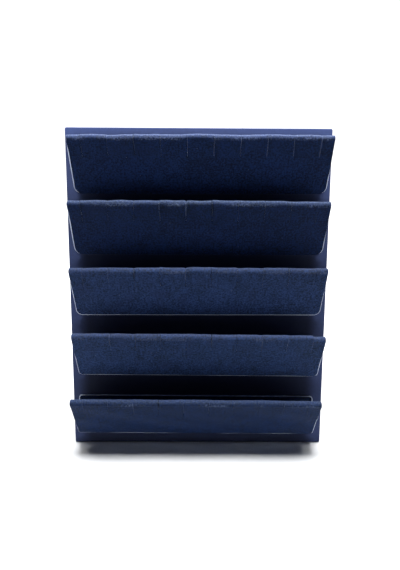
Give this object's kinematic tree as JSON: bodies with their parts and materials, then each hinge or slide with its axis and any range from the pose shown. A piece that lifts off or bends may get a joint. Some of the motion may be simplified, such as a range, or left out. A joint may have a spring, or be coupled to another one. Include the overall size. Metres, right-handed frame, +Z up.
{
  "type": "coin display tray",
  "caption": "Cloth-covered easel board with velvet-faced card ledges creased out of its front as slotted pockets for coins, capsules, cards or chains.",
  "frame": {"origin": "middle of the tray's footprint, on the surface that it stands on", "axes": "+X to the viewer's right, across the board; +Y to the back, away from the viewer; +Z up"},
  "size_m": [0.254, 0.143, 0.302],
  "materials": {
    "board_cloth": "matte",
    "velvet": "matte",
    "card": "matte",
    "greyboard": "matte",
    "lining_paper": "matte",
    "tape": "satin",
    "ribbon": "satin"
  },
  "bodies": {
    "board": {"board_core": "greyboard", "board_cloth": "board_cloth", "back_infill": "greyboard", "back_lining": "lining_paper", "strut_head_core": "greyboard", "strut_head_cloth": "board_cloth", "ribbon_stay": "ribbon", "ledge_1_tab_card": "card", "ledge_1_tab_velvet": "velvet", "ledge_2_tab_card": "card", "ledge_2_tab_velvet": "velvet", "ledge_3_tab_card": "card", "ledge_3_tab_velvet": "velvet", "ledge_4_tab_card": "card", "ledge_4_tab_velvet": "velvet", "ledge_5_tab_card": "card", "ledge_5_tab_velvet": "velvet"},
    "ledge_1": {"ledge_1_card": "card", "ledge_1_velvet": "velvet", "ledge_1_tape": "tape"},
    "ledge_2": {"ledge_2_card": "card", "ledge_2_velvet": "velvet", "ledge_2_tape": "tape"},
    "ledge_3": {"ledge_3_card": "card", "ledge_3_velvet": "velvet", "ledge_3_tape": "tape"},
    "ledge_4": {"ledge_4_card": "card", "ledge_4_velvet": "velvet", "ledge_4_tape": "tape"},
    "ledge_5": {"ledge_5_card": "card", "ledge_5_velvet": "velvet", "ledge_5_tape": "tape"},
    "strut_leg": {"strut_leg_core": "greyboard", "strut_leg_cloth": "board_cloth", "strut_leg_lining": "lining_paper"}
  },
  "joints": [
    {"name": "ledge_1_crease", "type": "hinge", "parent": "board", "child": "ledge_1", "pos_m": [0.0018, 0.0201, 0.24684], "axis": [1, 0.001, 0.0033], "range_deg": [-25, 30]},
    {"name": "ledge_2_crease", "type": "hinge", "parent": "board", "child": "ledge_2", "pos_m": [0.0004, 0.00291, 0.19061], "axis": [1, 0, 0], "range_deg": [-25.5, 29.5]},
    {"name": "ledge_3_crease", "type": "hinge", "parent": "board", "child": "ledge_3", "pos_m": [0.0002, -0.01452, 0.13361], "axis": [1, 0.0005, 0.0017], "range_deg": [-27, 28]},
    {"name": "ledge_4_crease", "type": "hinge", "parent": "board", "child": "ledge_4", "pos_m": [0.0004, -0.03258, 0.07451], "axis": [1, -0.0018, -0.0058], "range_deg": [-28.5, 26.5]},
    {"name": "ledge_5_crease", "type": "hinge", "parent": "board", "child": "ledge_5", "pos_m": [-0.002, -0.05048, 0.01599], "axis": [1, -0.0015, -0.005], "range_deg": [-33, 22]},
    {"name": "strut_crease", "type": "hinge", "parent": "board", "child": "strut_leg", "pos_m": [0, 0.0173, 0.20127], "axis": [1, 0, 0], "range_deg": [-32, 0], "deforming": ["ribbon_stay"]}
  ]
}
